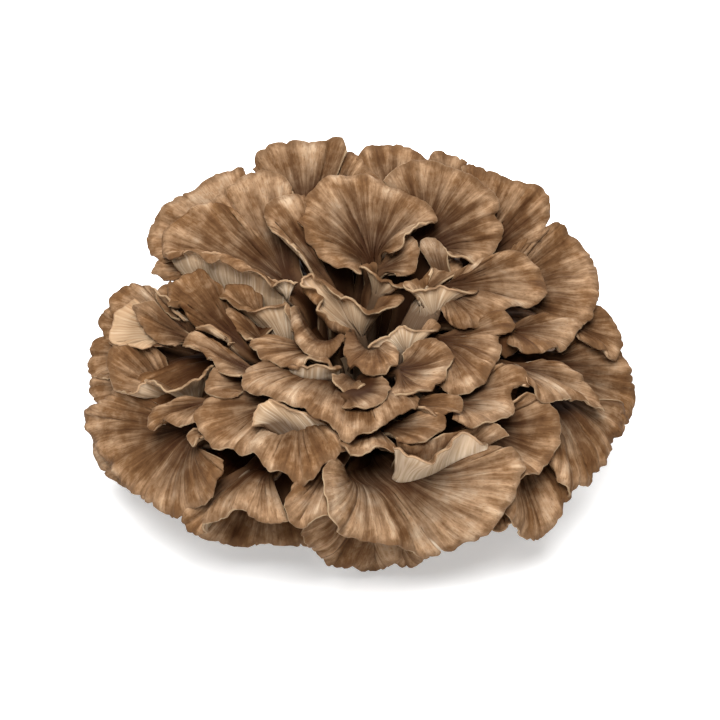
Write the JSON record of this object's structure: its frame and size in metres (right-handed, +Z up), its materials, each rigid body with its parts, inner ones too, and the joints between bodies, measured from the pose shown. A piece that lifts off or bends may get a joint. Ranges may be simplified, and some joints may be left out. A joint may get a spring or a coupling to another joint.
{
  "type": "maitake mushroom",
  "caption": "Maitake cluster: overlapping thin, fan-shaped brown fronds on strap stalks that rise from one branching stem butt with a flat cut face.",
  "frame": {"origin": "middle of the flat cut face under the stem butt, on the surface that the cluster rests on", "axes": "+Z up, away from the cut face; +X to the right of a viewer who faces the low front of the cluster; +Y to its high back"},
  "size_m": [0.2001, 0.1826, 0.1135],
  "materials": {
    "stem_flesh": "matte",
    "frond_skin": "matte"
  },
  "bodies": {
    "root": {"stem_butt": "stem_flesh", "crown_left_fan": "frond_skin", "crown_right_fan": "frond_skin", "great_right_fan": "frond_skin", "shoulder_right_fan": "frond_skin", "flank_right_fan": "frond_skin", "shoulder_left_fan": "frond_skin", "crown_left_inner_fan": "frond_skin", "great_left_funnel": "frond_skin", "great_top_fan": "frond_skin", "top_curled_leaf": "frond_skin", "heart_crescent": "frond_skin", "front_wavy_frond": "frond_skin", "right_flap": "frond_skin", "right_outer_fan": "frond_skin", "right_folded_leaf": "frond_skin", "right_inner_leaf": "frond_skin", "right_oval_cap": "frond_skin", "right_lobed_cap": "frond_skin", "heart_white_cup": "frond_skin", "right_shell_cup": "frond_skin", "right_torn_fan": "frond_skin", "right_hooded_fan": "frond_skin", "right_small_leaves": "frond_skin", "right_lower_fan": "frond_skin", "left_upper_fan": "frond_skin", "left_cup": "frond_skin", "left_edge_leaves": "frond_skin", "left_lower_fan": "frond_skin", "left_inner_fan": "frond_skin", "left_back_leaves": "frond_skin", "left_small_fans": "frond_skin", "left_pale_leaf": "frond_skin", "heart_cup": "frond_skin", "heart_funnel": "frond_skin", "heart_s_curl": "frond_skin", "heart_left_leaf": "frond_skin", "heart_round_curl": "frond_skin", "heart_flat_cap": "frond_skin", "front_left_fan": "frond_skin", "front_white_cup": "frond_skin", "front_small_leaf": "frond_skin", "front_arched_fan": "frond_skin", "front_left_skirt": "frond_skin", "front_narrow_fan": "frond_skin", "front_low_fan": "frond_skin", "great_front_fan": "frond_skin", "front_right_fan": "frond_skin", "back_top_fans": "frond_skin", "back_upper_fans": "frond_skin", "back_right_fan": "frond_skin", "back_middle_fans": "frond_skin", "back_left_fans": "frond_skin", "skirt_right_fan": "frond_skin", "skirt_back_fans": "frond_skin", "inner_left_fans": "frond_skin", "inner_right_fan": "frond_skin", "inner_low_right_fan": "frond_skin", "inner_back_right_fan": "frond_skin", "inner_back_left_fans": "frond_skin"}
  },
  "joints": []
}
